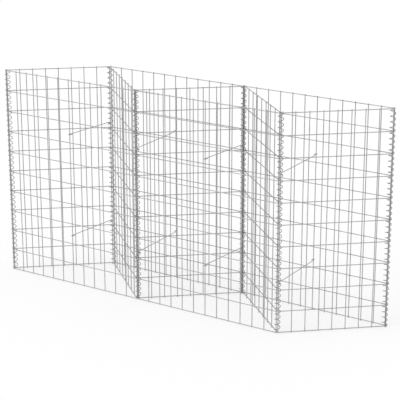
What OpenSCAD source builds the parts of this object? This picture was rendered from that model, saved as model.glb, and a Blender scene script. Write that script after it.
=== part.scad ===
// Gabion raised bed: nine welded wire mesh panels stand in a zigzag of four triangular bays.
// Six spiral wires lace the panels together at the corners.
// Eight hooked spacer wires tie each face to the corner opposite, at two heights.
// Millimetres. Z is up, X runs along the front, Y points to the back.
// The origin is the centre of the base.

/* [Bed] */
// length of one face panel run, from corner to corner
face_run = 750; // [550:10:900]
// length of one cross panel run, from corner to corner
cross_run = 500; // [420:10:700]
// mesh columns in a face panel
face_columns = 12; // [8:2:16]
// mesh columns in a cross panel
cross_columns = 8; // [5:1:12]
// distance from one horizontal wire to the next
row_pitch = 100; // [70:1:130]
// mesh rows in every panel
rows = 10; // [5:1:12]

/* [Mesh wire] */
// diameter of the mesh wires
mesh_wire_d = 4; // [3:0.1:5]
// how far the welding presses a horizontal wire into the upright ones
weld_sink = 0.6; // [0.3:0.1:1]
// length of upright wire left beyond the first and the last horizontal wire
wire_stub = 2.5; // [1:0.5:10]
// how far a horizontal wire stops short of the outside of its edge upright
end_trim = 0.3; // [0.1:0.1:1]

/* [Corner spirals] */
// diameter of the spiral wires
spiral_wire_d = 3.2; // [2.5:0.1:4]
// turns of the spiral in each mesh row
turns_per_row = 4; // [2:1:6]
// gap between neighbouring wires of the panels that meet at a corner
panel_gap = 0.5; // [0.3:0.1:1]
// how far inside the face panels the axis of a spiral stands
coil_inset = 6.5; // [5:0.5:8]
// how far the spirals at the two sharp end corners also stand in from the ends
sharp_corner_shift = 6; // [4:0.5:7]
// play between a spiral and the farthest edge wire inside it
spiral_play = 0.9; // [0.5:0.1:2]
// how far a spiral is screwed up or down, so that it clears the horizontal wires of its corner
coil_lift = 1; // [0.6:0.1:1.4]

/* [Spacers] */
// diameter of the spacer wires
spacer_wire_d = 3.5; // [3:0.1:5]
// play between a hook and the wire it goes round
hook_play = 0.8; // [0.6:0.1:2]
// straight length beyond each hook's bend
hook_tail = 12; // [6:1:25]
// how far a spacer falls on its way from the face to the corner
spacer_fall = 9; // [0:1:15]
// mesh row, counted from the base, whose lower part the lower spacers cross
lower_row = 3; // [1:1:5]
// mesh row, counted from the base, whose lower part the upper spacers cross
upper_row = 8; // [6:1:10]

/* [Hidden] */
mesh_r = mesh_wire_d / 2;
spiral_r = spiral_wire_d / 2;
spacer_r = spacer_wire_d / 2;
// triangular bay: the face is its base and two cross runs are its sides
bay_depth = sqrt(cross_run * cross_run - face_run * face_run / 4);
cross_angle = acos(face_run / 2 / cross_run);
// corner axes in plan, back row one half bay to the right of the front row
half_depth = bay_depth / 2;
front_left = [-1.25 * face_run, -half_depth];
front_middle = [-0.25 * face_run, -half_depth];
front_right = [0.75 * face_run, -half_depth];
back_left = [-0.75 * face_run, half_depth];
back_middle = [0.25 * face_run, half_depth];
back_right = [1.25 * face_run, half_depth];
// heights of the bottom wire and of the cut ends of the upright wires
first_wire_z = wire_stub + mesh_r;
mesh_height = rows * row_pitch;
panel_top = mesh_height + 2 * first_wire_z;
// an eight-sided bar with the cross-section area of the round wire
bar_sides = 8;
bar_flat = mesh_r * sqrt(PI / (bar_sides * tan(180 / bar_sides)));
bar_r = bar_flat / cos(180 / bar_sides);
weld_offset = mesh_wire_d - weld_sink;
// room from one wire's axis to the next where panels meet at a corner
wire_room = mesh_wire_d + panel_gap;
// distance from a corner to the edge wire of a face panel and to where its horizontals start
face_inset = wire_room / 2;
face_wire_start = face_inset - mesh_r + end_trim;
// the horizontals of a cross panel start clear of the face panel's horizontals and edge wire
beside_level = (wire_room - weld_offset * (1 - cos(cross_angle))) / sin(cross_angle);
beside_edge = face_inset * cos(cross_angle) + sqrt(wire_room * wire_room
    - pow(weld_offset - face_inset * sin(cross_angle), 2));
cross_wire_start = max(beside_level, beside_edge);
// its edge wire stands clear of the face panel's edge wire, under the ends of its horizontals
edge_to_edge = face_inset * cos(cross_angle)
    + sqrt(wire_room * wire_room - pow(face_inset * sin(cross_angle), 2));
cross_inset = max(edge_to_edge, cross_wire_start - mesh_r / 2);
// spiral: four-sided wire of the same area, eight steps to a turn
spiral_reach = norm([sharp_corner_shift - face_inset, coil_inset]);
spiral_radius = spiral_reach + mesh_r + spiral_play + spiral_r;
spiral_pitch = row_pitch / turns_per_row;
turn_steps = 8;
spiral_steps = turns_per_row * rows * turn_steps;
spiral_half = spiral_r * sqrt(PI) / 2;
spiral_rise = atan(spiral_pitch / (2 * PI * spiral_radius));
// spacer: six-sided wire of the same area
spacer_sides = 6;
spacer_tube_r = spacer_r * sqrt(2 * PI / (spacer_sides * sin(360 / spacer_sides)));
hook_radius = spacer_r + max(mesh_r, spiral_r) + hook_play;
hook_steps = 8;
// a spiral crosses the inside of its corner level with each horizontal wire, so a spacer's
// catch lies whole turns above one
catch_turns = ceil(turns_per_row / 4);
lower_catch_z = first_wire_z + (lower_row - 1) * row_pitch + catch_turns * spiral_pitch;
upper_catch_z = first_wire_z + (upper_row - 1) * row_pitch + catch_turns * spiral_pitch;

mesh_colour = [0.72, 0.73, 0.74];
spiral_colour = [0.62, 0.63, 0.64];
spacer_colour = [0.66, 0.67, 0.68];

// a straight bar of the mesh, standing on the point it is called at
module bar(length) {
    rotate([0, 0, 180 / bar_sides])
        cylinder(r = bar_r, h = length, $fn = bar_sides);
}

// one welded panel along X, with its corners at 0 and at the run length
module panel(run, columns, inset, wire_start, side) {
    step = (run - 2 * inset) / columns;
    for (i = [0 : columns])
        translate([inset + i * step, 0, 0])
            bar(panel_top);
    for (j = [0 : rows])
        translate([wire_start, side * weld_offset, first_wire_z + j * row_pitch])
            rotate([0, 90, 0])
                bar(run - 2 * wire_start);
}

// a panel from one corner to another; side 1 puts its horizontals on the left of that way
module panel_between(start, end, columns, inset, wire_start, side) {
    way = end - start;
    translate([start[0], start[1], 0])
        rotate([0, 0, atan2(way[1], way[0])])
            panel(norm(way), columns, inset, wire_start, side);
}

module face_panel(start, end, side) {
    color(mesh_colour)
        panel_between(start, end, face_columns, face_inset, face_wire_start, side);
}

module cross_panel(start, end, side) {
    color(mesh_colour)
        panel_between(start, end, cross_columns, cross_inset, cross_wire_start, side);
}

// the four points of the spiral's cross-section at one step
function spiral_ring(step, start) =
    let (angle = start + 180 / turn_steps + step * 360 / turn_steps)
    let (height = (step + 0.5) * spiral_pitch / turn_steps)
    let (out = [cos(angle), sin(angle), 0])
    let (up = [sin(angle) * sin(spiral_rise), -cos(angle) * sin(spiral_rise), cos(spiral_rise)])
    let (near = (spiral_radius - spiral_half) / cos(180 / turn_steps))
    let (far = (spiral_radius + spiral_half) / cos(180 / turn_steps))
    let (base = [0, 0, first_wire_z + height])
    [
        base + near * out - spiral_half * up,
        base + far * out - spiral_half * up,
        base + far * out + spiral_half * up,
        base + near * out + spiral_half * up
    ];

// faces of a tube whose rings have the given number of points
function tube_faces(rings, sides) = concat(
    [[for (k = [0 : sides - 1]) k]],
    [
        for (i = [0 : rings - 2])
            for (k = [0 : sides - 1])
                for (half = [0, 1])
                    let (a = i * sides + k)
                    let (b = i * sides + (k + 1) % sides)
                    half == 0 ? [b, a, a + sides] : [b, a + sides, b + sides]
    ],
    [[for (k = [0 : sides - 1]) rings * sides - 1 - k]]
);

// a spiral wire at a corner, started on its inward side: 90 at the front and 270 at the back,
// or turned on from there
module spiral(corner, inward, lift, shift = 0, turned = 0) {
    points = [for (i = [0 : spiral_steps]) for (p = spiral_ring(i, inward + turned)) p];
    axis = corner + sin(inward) * [shift, coil_inset];
    color(spiral_colour)
        translate([axis[0], axis[1], lift * coil_lift])
            polyhedron(points = points, faces = tube_faces(spiral_steps + 1, 4));
}

// at a sharp corner the spiral stands in from the end too, and it starts turned by the angle
// between the panels, so that its turns pass well between the end panel's horizontals
module sharp_spiral(corner, inward) {
    spiral(corner, inward, -1, sharp_corner_shift, cross_angle);
}

function unit(v) = v / norm(v);

// direction of a path at each of its points
function path_way(p, i) =
    i == 0 ? unit(p[1] - p[0]) :
    i == len(p) - 1 ? unit(p[i] - p[i - 1]) :
    unit(unit(p[i + 1] - p[i]) + unit(p[i] - p[i - 1]));

// sideways direction carried along the path without twisting
function path_side(p, i) =
    i == 0 ? [0, 0, 1] :
    let (last = path_side(p, i - 1))
    let (way = path_way(p, i))
    unit(last - (last * way) * way);

function path_ring(p, i) =
    let (way = path_way(p, i))
    let (side = path_side(p, i))
    let (other = cross(way, side))
    [
        for (k = [0 : spacer_sides - 1])
            let (a = 360 * k / spacer_sides)
            p[i] + spacer_tube_r * (cos(a) * side + sin(a) * other)
    ];

// centre line of a spacer: Y runs from the face to the corner that it is hooked to
function spacer_path(catch_z) =
    let (reach = bay_depth - coil_inset - spiral_radius)
    let (face_z = catch_z + hook_radius + spacer_fall)
    concat(
        [[hook_radius, hook_tail, face_z]],
        [
            for (i = [0 : hook_steps])
                let (a = -180 * i / hook_steps)
                [hook_radius * cos(a), hook_radius * sin(a), face_z]
        ],
        [
            for (i = [0 : hook_steps])
                let (a = 90 - 180 * i / hook_steps)
                [0, reach + hook_radius * cos(a), catch_z + hook_radius * sin(a)]
        ],
        [[0, reach - hook_tail, catch_z - hook_radius]]
    );

// a spacer between the middle upright of a face and the spiral of the corner opposite it
module spacer(corner, inward, lift, catch_z) {
    path = spacer_path(catch_z + lift * coil_lift);
    points = [for (i = [0 : len(path) - 1]) for (p = path_ring(path, i)) p];
    color(spacer_colour)
        translate([corner[0], -corner[1], 0])
            rotate([0, 0, inward - 270])
                polyhedron(points = points, faces = tube_faces(len(path), spacer_sides));
}

module front_left_panel() { face_panel(front_left, front_middle, -1); }
module front_right_panel() { face_panel(front_middle, front_right, -1); }
module back_left_panel() { face_panel(back_left, back_middle, 1); }
module back_right_panel() { face_panel(back_middle, back_right, 1); }
module left_end_panel() { cross_panel(front_left, back_left, 1); }
module right_end_panel() { cross_panel(front_right, back_right, -1); }
module left_partition() { cross_panel(back_left, front_middle, -1); }
module middle_partition() { cross_panel(front_middle, back_middle, 1); }
module right_partition() { cross_panel(back_middle, front_right, 1); }

module spiral_front_left() { sharp_spiral(front_left, 90); }
module spiral_front_middle() { spiral(front_middle, 90, -1); }
module spiral_front_right() { spiral(front_right, 90, 1); }
module spiral_back_left() { spiral(back_left, 270, 1); }
module spiral_back_middle() { spiral(back_middle, 270, 0); }
module spiral_back_right() { sharp_spiral(back_right, 270); }

module spacer_lower_1() { spacer(back_left, 270, 1, lower_catch_z); }
module spacer_lower_2() { spacer(front_middle, 90, -1, lower_catch_z); }
module spacer_lower_3() { spacer(back_middle, 270, 0, lower_catch_z); }
module spacer_lower_4() { spacer(front_right, 90, 1, lower_catch_z); }
module spacer_upper_1() { spacer(back_left, 270, 1, upper_catch_z); }
module spacer_upper_2() { spacer(front_middle, 90, -1, upper_catch_z); }
module spacer_upper_3() { spacer(back_middle, 270, 0, upper_catch_z); }
module spacer_upper_4() { spacer(front_right, 90, 1, upper_catch_z); }

front_left_panel();
front_right_panel();
back_left_panel();
back_right_panel();
left_end_panel();
right_end_panel();
left_partition();
middle_partition();
right_partition();
spiral_front_left();
spiral_front_middle();
spiral_front_right();
spiral_back_left();
spiral_back_middle();
spiral_back_right();
spacer_lower_1();
spacer_lower_2();
spacer_lower_3();
spacer_lower_4();
spacer_upper_1();
spacer_upper_2();
spacer_upper_3();
spacer_upper_4();
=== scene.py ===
# %% [markdown]
# # A gabion raised bed in welded wire mesh
# The bed is nine flat mesh panels that stand in a zigzag. They close four triangular bays, which
# stones or soil fill from above. Spiral wires lace the panels together at the six corners, and
# hooked spacer wires keep each face from bulging.
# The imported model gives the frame. Every piece made here takes the place of one plain node of it.

# %% Load the frame
from math import acos, cos, pi, radians, sin, sqrt

import bmesh
import bpy
from mathutils import Euler, Matrix, Vector


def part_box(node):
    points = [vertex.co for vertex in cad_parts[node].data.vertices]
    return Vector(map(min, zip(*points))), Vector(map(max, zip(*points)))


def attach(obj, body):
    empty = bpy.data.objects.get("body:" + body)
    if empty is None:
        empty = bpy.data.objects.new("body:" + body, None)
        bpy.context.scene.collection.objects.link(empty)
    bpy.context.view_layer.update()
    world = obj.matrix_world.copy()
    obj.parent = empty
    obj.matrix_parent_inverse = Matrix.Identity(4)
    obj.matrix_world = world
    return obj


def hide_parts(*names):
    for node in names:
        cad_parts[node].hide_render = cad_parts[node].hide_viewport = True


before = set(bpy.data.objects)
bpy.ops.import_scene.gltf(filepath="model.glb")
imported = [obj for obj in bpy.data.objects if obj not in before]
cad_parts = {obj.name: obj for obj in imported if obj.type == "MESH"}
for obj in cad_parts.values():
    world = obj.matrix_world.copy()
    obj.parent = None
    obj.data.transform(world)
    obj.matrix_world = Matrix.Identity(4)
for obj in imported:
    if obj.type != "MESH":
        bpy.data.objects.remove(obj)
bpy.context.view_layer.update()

# %% [markdown]
# ## The driving sizes
# A maker of such a bed orders mesh by its run, its number of cells and its wire. Everything else
# follows from these few sizes, so they are written once, in metres, and the places of the corners
# are worked out from them. Reading every place off the finished frame would also work, but the
# rule behind the plan would then be lost.

# %% Sizes of the bed
FACE_RUN = 0.750
CROSS_RUN = 0.500
FACE_COLUMNS = 12
CROSS_COLUMNS = 8
ROWS = 10
ROW_PITCH = 0.100
MESH_WIRE_R = 0.0020
SPIRAL_WIRE_R = 0.0016
SPACER_WIRE_R = 0.00175
WELD_SINK = 0.0006
WIRE_STUB = 0.0025
END_TRIM = 0.0003
PANEL_GAP = 0.0005
COIL_INSET = 0.0065
SHARP_CORNER_SHIFT = 0.006
SPIRAL_PLAY = 0.0009
COIL_LIFT = 0.001
TURNS_PER_ROW = 4
SPIRAL_PITCH = ROW_PITCH / TURNS_PER_ROW
HOOK_PLAY = 0.0008
HOOK_TAIL = 0.012
SPACER_FALL = 0.009

# %% Places that follow from the sizes
# A bay is a triangle: the face is its base and two cross panels are its sides.
BAY_DEPTH = sqrt(CROSS_RUN ** 2 - FACE_RUN ** 2 / 4)
CROSS_ANGLE = acos(FACE_RUN / 2 / CROSS_RUN)
FRONT, BACK = -BAY_DEPTH / 2, BAY_DEPTH / 2
# The back row of corners stands half a face to the right of the front row.
CORNERS = {
    "front_left": Vector((-1.25 * FACE_RUN, FRONT, 0)),
    "front_middle": Vector((-0.25 * FACE_RUN, FRONT, 0)),
    "front_right": Vector((0.75 * FACE_RUN, FRONT, 0)),
    "back_left": Vector((-0.75 * FACE_RUN, BACK, 0)),
    "back_middle": Vector((0.25 * FACE_RUN, BACK, 0)),
    "back_right": Vector((1.25 * FACE_RUN, BACK, 0)),
}
FIRST_WIRE_Z = WIRE_STUB + MESH_WIRE_R
MESH_HEIGHT = ROWS * ROW_PITCH
WELD_OFFSET = 2 * MESH_WIRE_R - WELD_SINK
WIRE_ROOM = 2 * MESH_WIRE_R + PANEL_GAP
HOOK_RADIUS = SPACER_WIRE_R + MESH_WIRE_R + HOOK_PLAY
for name, place in CORNERS.items():
    print("corner", name, [round(v, 4) for v in place])

# %% [markdown]
# ## What meets at a corner
# Up to four panels meet in one spiral. Their edge uprights stand almost wire to wire, and the level
# wires of a cross panel stop where they would touch the face panel beside it. The spiral stands a
# little inside the faces, because it hangs on the edge wires from within.

# %% Room at the corners
FACE_INSET = WIRE_ROOM / 2
FACE_WIRE_START = FACE_INSET - MESH_WIRE_R + END_TRIM
BESIDE_LEVEL = (WIRE_ROOM - WELD_OFFSET * (1 - cos(CROSS_ANGLE))) / sin(CROSS_ANGLE)
BESIDE_EDGE = FACE_INSET * cos(CROSS_ANGLE) + sqrt(
    WIRE_ROOM ** 2 - (WELD_OFFSET - FACE_INSET * sin(CROSS_ANGLE)) ** 2)
CROSS_WIRE_START = max(BESIDE_LEVEL, BESIDE_EDGE)
EDGE_TO_EDGE = FACE_INSET * cos(CROSS_ANGLE) + sqrt(
    WIRE_ROOM ** 2 - (FACE_INSET * sin(CROSS_ANGLE)) ** 2)
CROSS_INSET = max(EDGE_TO_EDGE, CROSS_WIRE_START - MESH_WIRE_R / 2)
SPIRAL_REACH = Vector((SHARP_CORNER_SHIFT - FACE_INSET, COIL_INSET)).length
SPIRAL_RADIUS = SPIRAL_REACH + MESH_WIRE_R + SPIRAL_PLAY + SPIRAL_WIRE_R
print(f"edge uprights {FACE_INSET * 1000:.2f} and {CROSS_INSET * 1000:.2f} mm from the corner")
print(f"spiral radius {SPIRAL_RADIUS * 1000:.2f} mm")

# %% [markdown]
# ## Hot-dip galvanised wire
# The wire is drawn steel with a coat of zinc. Zinc freezes in small crystals, so the surface is a
# satin grey with faint lighter and darker facets, and it dulls a little where it has weathered.
# A picture of zinc could be wrapped round the wire, but a wire has no room for one. Voronoi cells
# of a few millimetres give the crystals, a slow noise gives the weathering, and a fine noise gives
# the grain that drawing leaves. All of them read Object coordinates, so they run on through welds.

# %% A helper that links two sockets
def link(tree, out_socket, in_socket):
    tree.links.new(out_socket, in_socket)


# %% The zinc finish, in the shades that the pieces need
METAL_SHARE = 0.85
WEATHER_SCALE = 9.0
WEATHER_DETAIL = 3.0
WEATHER_FROM, WEATHER_TO = 0.42, 0.68
WEATHERED_TINT = (0.86, 0.865, 0.87, 1)
SMOOTHER, ROUGHER = 0.08, 0.12
GRAIN_SCALE = 900.0
GRAIN_STRENGTH = 0.25
GRAIN_DEPTH = 0.0001


def zinc(name, colour, roughness, crystal_size, contrast):
    material = bpy.data.materials.new(name)
    material.use_nodes = True
    tree = material.node_tree
    shader = tree.nodes["Principled BSDF"]
    shader.inputs["Metallic"].default_value = METAL_SHARE
    place = tree.nodes.new("ShaderNodeTexCoord")

    crystals = tree.nodes.new("ShaderNodeTexVoronoi")
    crystals.inputs["Scale"].default_value = 1 / crystal_size
    weather = tree.nodes.new("ShaderNodeTexNoise")
    weather.inputs["Scale"].default_value = WEATHER_SCALE
    weather.inputs["Detail"].default_value = WEATHER_DETAIL
    grain = tree.nodes.new("ShaderNodeTexNoise")
    grain.inputs["Scale"].default_value = GRAIN_SCALE
    for texture in (crystals, weather, grain):
        link(tree, place.outputs["Object"], texture.inputs["Vector"])

    facets = tree.nodes.new("ShaderNodeMix")
    facets.data_type = "RGBA"
    facets.inputs["A"].default_value = (*[c * (1 - contrast) for c in colour], 1)
    facets.inputs["B"].default_value = (*[min(1, c * (1 + contrast)) for c in colour], 1)
    link(tree, crystals.outputs["Color"], facets.inputs["Factor"])

    dull = tree.nodes.new("ShaderNodeMix")
    dull.data_type = "RGBA"
    dull.blend_type = "MULTIPLY"
    dull.inputs["B"].default_value = WEATHERED_TINT
    patches = tree.nodes.new("ShaderNodeMapRange")
    patches.inputs["From Min"].default_value = WEATHER_FROM
    patches.inputs["From Max"].default_value = WEATHER_TO
    link(tree, weather.outputs["Fac"], patches.inputs["Value"])
    link(tree, patches.outputs["Result"], dull.inputs["Factor"])
    link(tree, facets.outputs["Result"], dull.inputs["A"])
    link(tree, dull.outputs["Result"], shader.inputs["Base Color"])

    satin = tree.nodes.new("ShaderNodeMapRange")
    satin.inputs["To Min"].default_value = roughness - SMOOTHER
    satin.inputs["To Max"].default_value = roughness + ROUGHER
    link(tree, weather.outputs["Fac"], satin.inputs["Value"])
    link(tree, satin.outputs["Result"], shader.inputs["Roughness"])

    bump = tree.nodes.new("ShaderNodeBump")
    bump.inputs["Strength"].default_value = GRAIN_STRENGTH
    bump.inputs["Distance"].default_value = GRAIN_DEPTH
    link(tree, grain.outputs["Fac"], bump.inputs["Height"])
    link(tree, bump.outputs["Normal"], shader.inputs["Normal"])
    return material


MESH_ZINC = zinc("mesh_zinc", (0.43, 0.43, 0.435), roughness=0.42, crystal_size=0.006, contrast=0.10)
WELD_ZINC = zinc("weld_zinc", (0.36, 0.36, 0.365), roughness=0.55, crystal_size=0.003, contrast=0.06)
SPIRAL_ZINC = zinc("spiral_zinc", (0.34, 0.34, 0.345), roughness=0.38, crystal_size=0.005, contrast=0.10)
SPACER_ZINC = zinc("spacer_zinc", (0.40, 0.40, 0.405), roughness=0.42, crystal_size=0.005, contrast=0.10)
print("finishes:", [m.name for m in (MESH_ZINC, WELD_ZINC, SPIRAL_ZINC, SPACER_ZINC)])

# %% [markdown]
# ## Small tools for Geometry Nodes
# Each tree below is one rule with named sizes, such as a panel with its pitch and wire. A piece
# gets the tree as a modifier, with its own sizes. The result is then turned into a plain mesh, so
# that the piece can be moved to its place and exported with no modifier left on it.

# %% A new tree with named inputs
def new_tree(name, inputs):
    tree = bpy.data.node_groups.new(name, "GeometryNodeTree")
    tree.interface.new_socket("Geometry", in_out="INPUT", socket_type="NodeSocketGeometry")
    for socket_name, kind in inputs.items():
        tree.interface.new_socket(socket_name, in_out="INPUT", socket_type="NodeSocket" + kind)
    tree.interface.new_socket("Geometry", in_out="OUTPUT", socket_type="NodeSocketGeometry")
    given = tree.nodes.new("NodeGroupInput")
    result = tree.nodes.new("NodeGroupOutput")
    return tree, given.outputs, result.inputs


# %% A node whose inputs are linked or set in one call
def add(tree, kind, settings=None, **inputs):
    node = tree.nodes.new(kind)
    for key, value in (settings or {}).items():
        setattr(node, key, value)
    for key, value in inputs.items():
        socket = node.inputs[key.replace("_", " ")]
        if isinstance(value, bpy.types.NodeSocket):
            link(tree, value, socket)
        else:
            socket.default_value = value
    return node


# %% A vector whose parts are numbers or sockets
def vector(tree, x=0.0, y=0.0, z=0.0):
    return add(tree, "ShaderNodeCombineXYZ", X=x, Y=y, Z=z).outputs["Vector"]


# %% A sum, product or other step on two numbers or sockets
def work_out(tree, operation, first, second=None):
    node = add(tree, "ShaderNodeMath", {"operation": operation})
    for k, value in enumerate((first, second)):
        if isinstance(value, bpy.types.NodeSocket):
            link(tree, value, node.inputs[k])
        elif value is not None:
            node.inputs[k].default_value = value
    return node.outputs["Value"]


# %% A round wire along a curve
def round_wire(tree, curve, radius, sides):
    outline = add(tree, "GeometryNodeCurvePrimitiveCircle", Resolution=sides, Radius=radius)
    wire = add(tree, "GeometryNodeCurveToMesh", Curve=curve,
               Profile_Curve=outline.outputs["Curve"], Fill_Caps=True)
    return wire.outputs["Mesh"]


# %% The last nodes of every tree
def end_tree(tree, result, geometry, material=None):
    real = add(tree, "GeometryNodeRealizeInstances", Geometry=geometry).outputs["Geometry"]
    if material is not None:
        real = add(tree, "GeometryNodeSetMaterial", Geometry=real,
                   Material=material).outputs["Geometry"]
    link(tree, real, result["Geometry"])


# %% From a tree to a finished piece
SHARP_ANGLE = radians(50)


def make_piece(name, tree, sizes, place, start=None):
    source = bpy.data.objects.new(name + "_rule", start or bpy.data.meshes.new(name + "_start"))
    bpy.context.scene.collection.objects.link(source)
    rule = source.modifiers.new("rule", "NODES")
    rule.node_group = tree
    identifiers = {s.name: s.identifier for s in tree.interface.items_tree
                   if s.item_type == "SOCKET" and s.in_out == "INPUT"}
    for size_name, value in sizes.items():
        rule[identifiers[size_name]] = value
    graph = bpy.context.evaluated_depsgraph_get()
    mesh = bpy.data.meshes.new_from_object(source.evaluated_get(graph), depsgraph=graph)
    bpy.data.objects.remove(source)
    shell = bmesh.new()
    shell.from_mesh(mesh)
    bmesh.ops.recalc_face_normals(shell, faces=shell.faces)
    shell.to_mesh(mesh)
    shell.free()
    mesh.transform(place)
    mesh.shade_smooth()
    mesh.set_sharp_from_angle(angle=SHARP_ANGLE)
    mesh.name = name
    piece = bpy.data.objects.new(name, mesh)
    bpy.context.scene.collection.objects.link(piece)
    return piece


# %% A piece takes the place of its node
def take_over(piece, node):
    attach(piece, "root")
    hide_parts(node)
    low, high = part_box(node)
    spots = [v.co for v in piece.data.vertices]
    new_low = [min(p[k] for p in spots) for k in range(3)]
    new_high = [max(p[k] for p in spots) for k in range(3)]
    off = max(abs(a - b) for a, b in zip([*low, *high], [*new_low, *new_high]))
    faces = len(piece.data.polygons)
    print(f"{piece.name}: {faces} faces, box within {off * 1000:.2f} mm of its node")


# %% [markdown]
# ## Welded mesh panels
# On the real panel the upright wires lie in one plane and the level wires in another, just in
# front. A resistance weld presses each crossing together, so the wires sink into each other a
# little and a low collar of squeezed metal shows beside the joint.
# Every wire could be drawn by hand, but a panel is a rule: so many columns, so many rows, one
# pitch each way. Geometry Nodes put a wire on each point of a line, and a collar on each crossing.

# %% The rule for a welded panel
PANEL_SIZES = {
    "Columns": "Int", "Column Pitch": "Float", "First Upright": "Float",
    "Upright Length": "Float", "Rows": "Int", "Row Pitch": "Float", "First Level": "Float",
    "Level Start": "Float", "Level Length": "Float", "Level Offset": "Float",
    "Wire Radius": "Float", "Collar Radius": "Float",
    "Wire Finish": "Material", "Collar Finish": "Material",
}
WIRE_SIDES = 12
COLLAR_SIDES = 10
COLLAR_RINGS = 6
COLLAR_RADIUS = 1.28 * MESH_WIRE_R
COLLAR_FLATNESS = 0.42


def line_of_points(tree, count, start, step):
    return add(tree, "GeometryNodeMeshLine", {"mode": "OFFSET"}, Count=count,
               Start_Location=start, Offset=step).outputs["Mesh"]


def on_points(tree, points, instance, **more):
    return add(tree, "GeometryNodeInstanceOnPoints", Points=points,
               Instance=instance, **more).outputs["Instances"]


def panel_tree():
    tree, size, result = new_tree("welded_panel", PANEL_SIZES)
    uprights_in_all = work_out(tree, "ADD", size["Columns"], 1)
    levels_in_all = work_out(tree, "ADD", size["Rows"], 1)

    upright_line = add(tree, "GeometryNodeCurvePrimitiveLine",
                       End=vector(tree, z=size["Upright Length"])).outputs["Curve"]
    upright = round_wire(tree, upright_line, size["Wire Radius"], WIRE_SIDES)
    upright_feet = line_of_points(tree, uprights_in_all,
                                  vector(tree, x=size["First Upright"]),
                                  vector(tree, x=size["Column Pitch"]))
    uprights = on_points(tree, upright_feet, upright)

    level_line = add(tree, "GeometryNodeCurvePrimitiveLine",
                     End=vector(tree, x=size["Level Length"])).outputs["Curve"]
    level = round_wire(tree, level_line, size["Wire Radius"], WIRE_SIDES)
    level_starts = line_of_points(
        tree, levels_in_all,
        vector(tree, x=size["Level Start"], y=size["Level Offset"], z=size["First Level"]),
        vector(tree, z=size["Row Pitch"]))
    levels = on_points(tree, level_starts, level)

    half_way = work_out(tree, "MULTIPLY", size["Level Offset"], 0.5)
    ball = add(tree, "GeometryNodeMeshUVSphere", Segments=COLLAR_SIDES, Rings=COLLAR_RINGS,
               Radius=size["Collar Radius"]).outputs["Mesh"]
    collar_heights = line_of_points(
        tree, levels_in_all,
        vector(tree, y=half_way, z=size["First Level"]),
        vector(tree, z=size["Row Pitch"]))
    collar_column = on_points(tree, collar_heights, ball, Scale=(1.0, COLLAR_FLATNESS, 1.0))
    collars = on_points(tree, upright_feet, collar_column)

    wires = add(tree, "GeometryNodeJoinGeometry")
    link(tree, levels, wires.inputs["Geometry"])
    link(tree, uprights, wires.inputs["Geometry"])
    zinc_wires = add(tree, "GeometryNodeSetMaterial", Geometry=wires.outputs["Geometry"],
                     Material=size["Wire Finish"]).outputs["Geometry"]
    zinc_collars = add(tree, "GeometryNodeSetMaterial", Geometry=collars,
                       Material=size["Collar Finish"]).outputs["Geometry"]
    whole = add(tree, "GeometryNodeJoinGeometry")
    link(tree, zinc_collars, whole.inputs["Geometry"])
    link(tree, zinc_wires, whole.inputs["Geometry"])
    end_tree(tree, result, whole.outputs["Geometry"])
    return tree


PANEL_TREE = panel_tree()
print("panel rule:", len(PANEL_TREE.nodes), "nodes")


# %% One panel from corner to corner
def make_panel(node, start, end, columns, inset, level_start, side):
    way = CORNERS[end] - CORNERS[start]
    run = way.length
    sizes = {
        "Columns": columns,
        "Column Pitch": (run - 2 * inset) / columns,
        "First Upright": inset,
        "Upright Length": MESH_HEIGHT + 2 * FIRST_WIRE_Z,
        "Rows": ROWS,
        "Row Pitch": ROW_PITCH,
        "First Level": FIRST_WIRE_Z,
        "Level Start": level_start,
        "Level Length": run - 2 * level_start,
        "Level Offset": side * WELD_OFFSET,
        "Wire Radius": MESH_WIRE_R,
        "Collar Radius": COLLAR_RADIUS,
        "Wire Finish": MESH_ZINC,
        "Collar Finish": WELD_ZINC,
    }
    turn = Matrix.Rotation(way.xy.angle_signed(Vector((1, 0))), 4, "Z")
    place = Matrix.Translation(CORNERS[start]) @ turn
    piece = make_piece(node + "_mesh", PANEL_TREE, sizes, place)
    take_over(piece, node)


# %% [markdown]
# The four face panels show their level wires on the outside, as the two end panels do. Side 1 puts
# the level wires on the left of the way from the first corner to the second.

# %% The nine panels
FACES = {
    "front_left_panel": ("front_left", "front_middle", -1),
    "front_right_panel": ("front_middle", "front_right", -1),
    "back_left_panel": ("back_left", "back_middle", 1),
    "back_right_panel": ("back_middle", "back_right", 1),
}
CROSSES = {
    "left_end_panel": ("front_left", "back_left", 1),
    "right_end_panel": ("front_right", "back_right", -1),
    "left_partition": ("back_left", "front_middle", -1),
    "middle_partition": ("front_middle", "back_middle", 1),
    "right_partition": ("back_middle", "front_right", 1),
}
for node, (start, end, side) in FACES.items():
    make_panel(node, start, end, FACE_COLUMNS, FACE_INSET, FACE_WIRE_START, side)
for node, (start, end, side) in CROSSES.items():
    make_panel(node, start, end, CROSS_COLUMNS, CROSS_INSET, CROSS_WIRE_START, side)

# %% [markdown]
# ## Corner spirals
# A spiral is wound on a mandrel and then screwed down the corner, where each turn catches the edge
# wires of all the panels that meet there. Four turns go to a mesh row.
# The Screw modifier could wind it, but a rule on a straight line shows what a helix is: each point
# keeps its height, and its angle grows with that height.

# %% The rule for a spiral wire
SPIRAL_SIZES = {
    "Height": "Float", "Pitch": "Float", "Start Angle": "Float", "Coil Radius": "Float",
    "Wire Radius": "Float", "Points": "Int", "Finish": "Material",
}
POINTS_PER_TURN = 24
SPIRAL_WIRE_SIDES = 10


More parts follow.
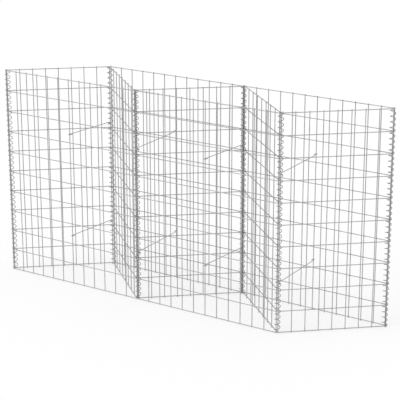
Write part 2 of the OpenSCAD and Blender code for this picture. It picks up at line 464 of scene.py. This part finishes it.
def spiral_tree():
    tree, size, result = new_tree("corner_spiral", SPIRAL_SIZES)
    line = add(tree, "GeometryNodeCurvePrimitiveLine",
               End=vector(tree, z=size["Height"])).outputs["Curve"]
    fine = add(tree, "GeometryNodeResampleCurve", Curve=line,
               Count=size["Points"]).outputs["Curve"]
    here = add(tree, "GeometryNodeInputPosition").outputs["Position"]
    height = add(tree, "ShaderNodeSeparateXYZ", Vector=here).outputs["Z"]
    turns = work_out(tree, "DIVIDE", height, size["Pitch"])
    angle = work_out(tree, "ADD", work_out(tree, "MULTIPLY", turns, 2 * pi), size["Start Angle"])
    across = work_out(tree, "MULTIPLY", work_out(tree, "COSINE", angle), size["Coil Radius"])
    along = work_out(tree, "MULTIPLY", work_out(tree, "SINE", angle), size["Coil Radius"])
    coil = add(tree, "GeometryNodeSetPosition", Geometry=fine,
               Position=vector(tree, across, along, height)).outputs["Geometry"]
    wire = round_wire(tree, coil, size["Wire Radius"], SPIRAL_WIRE_SIDES)
    end_tree(tree, result, wire, size["Finish"])
    return tree


SPIRAL_TREE = spiral_tree()
print("spiral rule:", len(SPIRAL_TREE.nodes), "nodes")


# %% [markdown]
# A spiral crosses the level wires of its own corner, and they must not meet. So each spiral is
# screwed up or down by up to a millimetre, and hangs clear of them.

# %% One spiral at its corner
LIFTS = {"front_left": -1, "front_middle": -1, "front_right": 1,
         "back_left": 1, "back_middle": 0, "back_right": -1}


def make_spiral(corner, shift, turned):
    inward = 1 if CORNERS[corner].y < 0 else -1
    axis = CORNERS[corner] + inward * Vector((shift, COIL_INSET, 0))
    sizes = {
        "Height": MESH_HEIGHT,
        "Pitch": SPIRAL_PITCH,
        "Start Angle": inward * pi / 2 + turned,
        "Coil Radius": SPIRAL_RADIUS,
        "Wire Radius": SPIRAL_WIRE_R,
        "Points": ROWS * TURNS_PER_ROW * POINTS_PER_TURN + 1,
        "Finish": SPIRAL_ZINC,
    }
    foot = FIRST_WIRE_Z + LIFTS[corner] * COIL_LIFT
    place = Matrix.Translation(axis + Vector((0, 0, foot)))
    piece = make_piece("spiral_" + corner + "_wire", SPIRAL_TREE, sizes, place)
    take_over(piece, "spiral_" + corner)


# %% [markdown]
# At the two sharp corners the spiral also stands in from the end, and it starts turned by the angle
# between the panels. Its turns then pass well between the level wires of the end panel.

# %% The six spirals
SHARP_CORNERS = ("front_left", "back_right")
for corner in CORNERS:
    if corner in SHARP_CORNERS:
        make_spiral(corner, SHARP_CORNER_SHIFT, CROSS_ANGLE)
    else:
        make_spiral(corner, 0.0, 0.0)

# %% [markdown]
# ## Hooked spacers
# A spacer is a straight length of wire with a hook bent at each end. One hook lies flat round the
# middle upright of a face. The other stands on edge and drops over a turn of the spiral opposite.
# Two heights in each bay carry one. A Bezier curve could be bent to this shape by eye, but the
# hooks must clear the wires that they hold, so the path is made of exact half circles.

# %% The rule for a wire along a path
SPACER_WIRE_SIDES = 12


def spacer_tree():
    tree, size, result = new_tree("hooked_spacer", {"Wire Radius": "Float", "Finish": "Material"})
    path = add(tree, "GeometryNodeMeshToCurve", Mesh=size["Geometry"]).outputs["Curve"]
    wire = round_wire(tree, path, size["Wire Radius"], SPACER_WIRE_SIDES)
    end_tree(tree, result, wire, size["Finish"])
    return tree


SPACER_TREE = spacer_tree()


# %% The path of a spacer, from the face at 0 to the corner opposite
HOOK_STEPS = 16


def spacer_path():
    reach = BAY_DEPTH - COIL_INSET - SPIRAL_RADIUS
    r = HOOK_RADIUS
    face_z = r + SPACER_FALL
    arc = [pi * k / HOOK_STEPS for k in range(HOOK_STEPS + 1)]
    flat_hook = [(r * cos(a), -r * sin(a), face_z) for a in arc]
    edge_hook = [(0, reach + r * sin(a), r * cos(a)) for a in arc]
    return [(r, HOOK_TAIL, face_z), *flat_hook, *edge_hook, (0, reach - HOOK_TAIL, -r)]


def path_mesh(points):
    mesh = bpy.data.meshes.new("spacer_path")
    mesh.from_pydata(points, [(k, k + 1) for k in range(len(points) - 1)], [])
    return mesh


# %% The eight spacers
# A spacer hangs on a spiral one turn above a level wire, over so many whole mesh rows.
CATCH_TURNS = 1
LEVELS = {"lower": 2, "upper": 7}
# The corner that the spacers of each bay hang on, from the left bay to the right one.
BAYS = ("back_left", "front_middle", "back_middle", "front_right")
for level, whole_rows in LEVELS.items():
    level_z = FIRST_WIRE_Z + whole_rows * ROW_PITCH + CATCH_TURNS * SPIRAL_PITCH
    for number, corner in enumerate(BAYS, start=1):
        far = CORNERS[corner]
        catch_z = level_z + LIFTS[corner] * COIL_LIFT
        turn = Matrix.Rotation(0 if far.y > 0 else pi, 4, "Z")
        place = Matrix.Translation(Vector((far.x, -far.y, catch_z))) @ turn
        node = f"spacer_{level}_{number}"
        sizes = {"Wire Radius": SPACER_WIRE_R, "Finish": SPACER_ZINC}
        piece = make_piece(node + "_wire", SPACER_TREE, sizes, place, path_mesh(spacer_path()))
        take_over(piece, node)

# %% [markdown]
# ## Floor, light and camera
# The bed stands on a plain pale floor that runs on past the view. A broad sky from all sides and
# one wide sun give soft light at a level where a colour shows about as it is written.
# The sky is white to the eye and in reflections, and a little dimmer as light, so that metal
# mirrors a bright studio. Part of what the eye sees of the floor is its own white, which keeps the
# shadow of the wires on it but makes it faint.

# %% The floor
FLOOR_SIZE = 120.0
FLOOR_COLOUR = (0.98, 0.98, 0.98, 1)
FLOOR_ROUGHNESS = 0.9
WHITE_SHARE = 0.6


def pale_floor():
    material = bpy.data.materials.new("pale_floor")
    material.use_nodes = True
    tree = material.node_tree
    shader = tree.nodes["Principled BSDF"]
    shader.inputs["Base Color"].default_value = FLOOR_COLOUR
    shader.inputs["Roughness"].default_value = FLOOR_ROUGHNESS
    shader.inputs["Specular IOR Level"].default_value = 0.0
    ray = tree.nodes.new("ShaderNodeLightPath")
    seen = work_out(tree, "MAXIMUM", ray.outputs["Is Camera Ray"], ray.outputs["Is Glossy Ray"])
    seen = work_out(tree, "MAXIMUM", seen, ray.outputs["Is Transmission Ray"])
    white = tree.nodes.new("ShaderNodeEmission")
    share = work_out(tree, "MULTIPLY", seen, WHITE_SHARE)
    both = tree.nodes.new("ShaderNodeMixShader")
    link(tree, share, both.inputs["Fac"])
    link(tree, shader.outputs["BSDF"], both.inputs[1])
    link(tree, white.outputs["Emission"], both.inputs[2])
    link(tree, both.outputs["Shader"], tree.nodes["Material Output"].inputs["Surface"])
    return material


bpy.ops.mesh.primitive_plane_add(size=FLOOR_SIZE)
floor = bpy.context.object
floor.name = "floor"
floor.data.materials.append(pale_floor())

# %% The sky
SKY_AS_LIGHT = 0.80
SKY_AS_SEEN = 1.0
world = bpy.data.worlds.new("studio")
bpy.context.scene.world = world
world.use_nodes = True
sky = world.node_tree
ray = sky.nodes.new("ShaderNodeLightPath")
seen = work_out(sky, "MAXIMUM", ray.outputs["Is Camera Ray"], ray.outputs["Is Glossy Ray"])
seen = work_out(sky, "MAXIMUM", seen, ray.outputs["Is Transmission Ray"])
strength = sky.nodes.new("ShaderNodeMapRange")
strength.inputs["To Min"].default_value = SKY_AS_LIGHT
strength.inputs["To Max"].default_value = SKY_AS_SEEN
link(sky, seen, strength.inputs["Value"])
link(sky, strength.outputs["Result"], sky.nodes["Background"].inputs["Strength"])
sky.nodes["Background"].inputs["Color"].default_value = (1, 1, 1, 1)
print("sky:", SKY_AS_LIGHT, "as light,", SKY_AS_SEEN, "as seen")

# %% The sun
SUN_ENERGY = 0.95
SUN_WIDTH = radians(50)
SUN_TURN = Euler((radians(35), radians(-20), 0))
sun = bpy.data.objects.new("wide_sun", bpy.data.lights.new("wide_sun", "SUN"))
sun.data.energy = SUN_ENERGY
sun.data.angle = SUN_WIDTH
sun.rotation_euler = SUN_TURN
bpy.context.scene.collection.objects.link(sun)
print("sun:", SUN_ENERGY)

# %% [markdown]
# The camera stands well back at the right front, a little above the bed, with a long lens.

# %% The camera
CAMERA_PLACE = Vector((3.4725, -5.3184, 2.5215))
CAMERA_TURN = Euler((radians(72.15), 0, radians(32.73)))
LENS, SENSOR_WIDTH = 130.08, 36.0
VIEW_END = 200.0
camera = bpy.data.objects.new("camera", bpy.data.cameras.new("camera"))
camera.location = CAMERA_PLACE
camera.rotation_euler = CAMERA_TURN
camera.data.sensor_width = SENSOR_WIDTH
camera.data.lens = LENS
camera.data.clip_end = VIEW_END
bpy.context.scene.collection.objects.link(camera)
bpy.context.scene.camera = camera
bpy.context.scene.view_settings.view_transform = "Standard"
